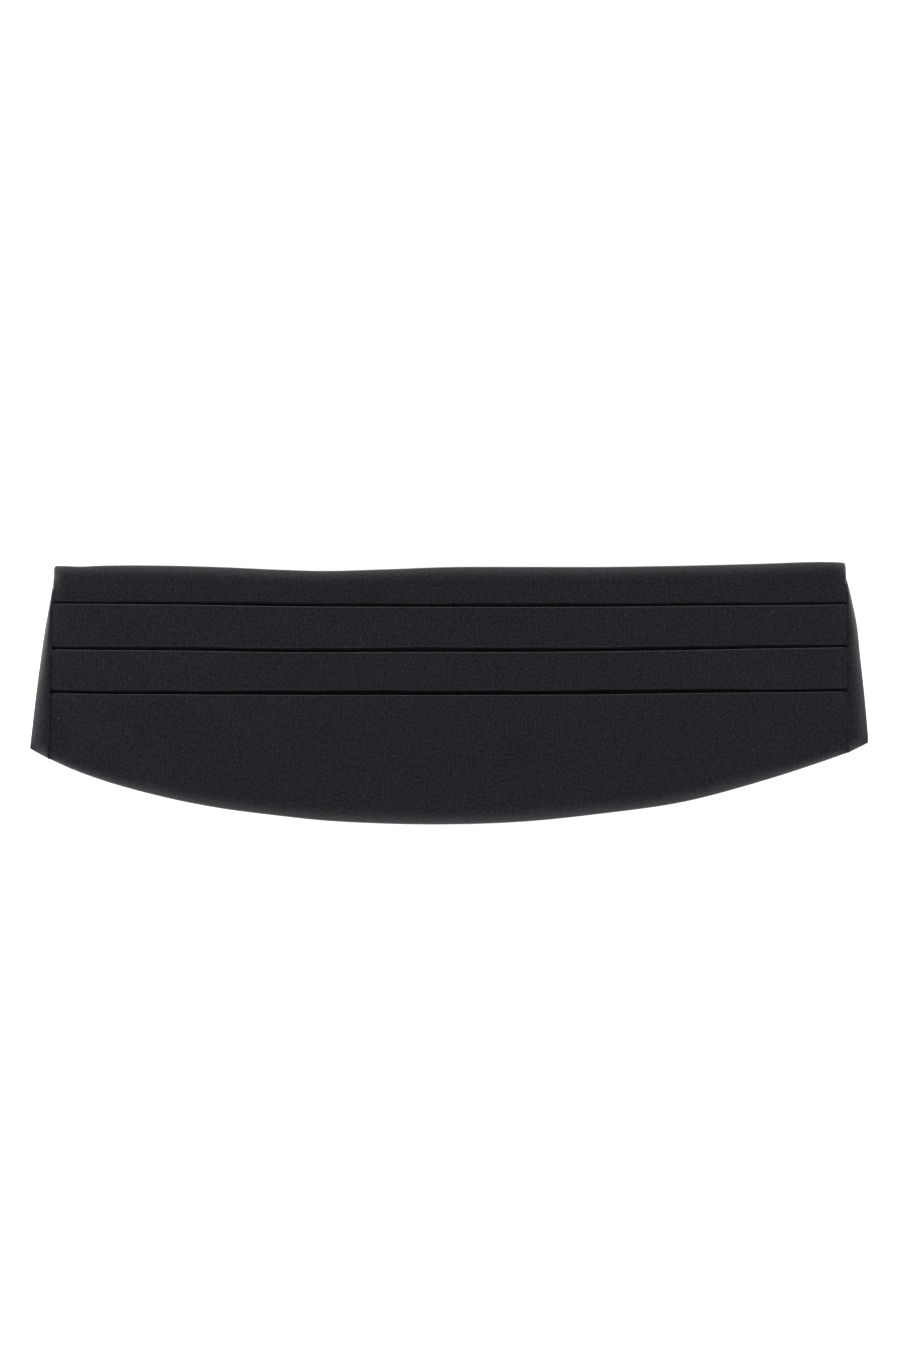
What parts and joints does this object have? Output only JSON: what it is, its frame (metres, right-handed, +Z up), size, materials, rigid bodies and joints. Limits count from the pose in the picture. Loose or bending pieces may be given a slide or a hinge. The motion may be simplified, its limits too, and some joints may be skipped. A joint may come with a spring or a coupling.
{
  "type": "pleated cummerbund",
  "caption": "Black pleated waist sash with side wings, elastic back straps and a plain clasp, fastened and lying flat, face up.",
  "frame": {"origin": "on the table under the middle of the cummerbund's bounding box", "axes": "+X along the front to the picture's right, +Y towards the front's top edge, +Z up from the table, out of the front's face"},
  "size_m": [0.418, 0.1308, 0.0093],
  "materials": {
    "wool_cloth": "matte",
    "elastic": "matte",
    "black_enamel": "satin"
  },
  "bodies": {
    "root": {"front_panel": "wool_cloth", "left_wing": "wool_cloth", "right_wing": "wool_cloth", "left_strap": "elastic", "right_strap": "elastic", "clasp": "black_enamel"}
  },
  "joints": []
}
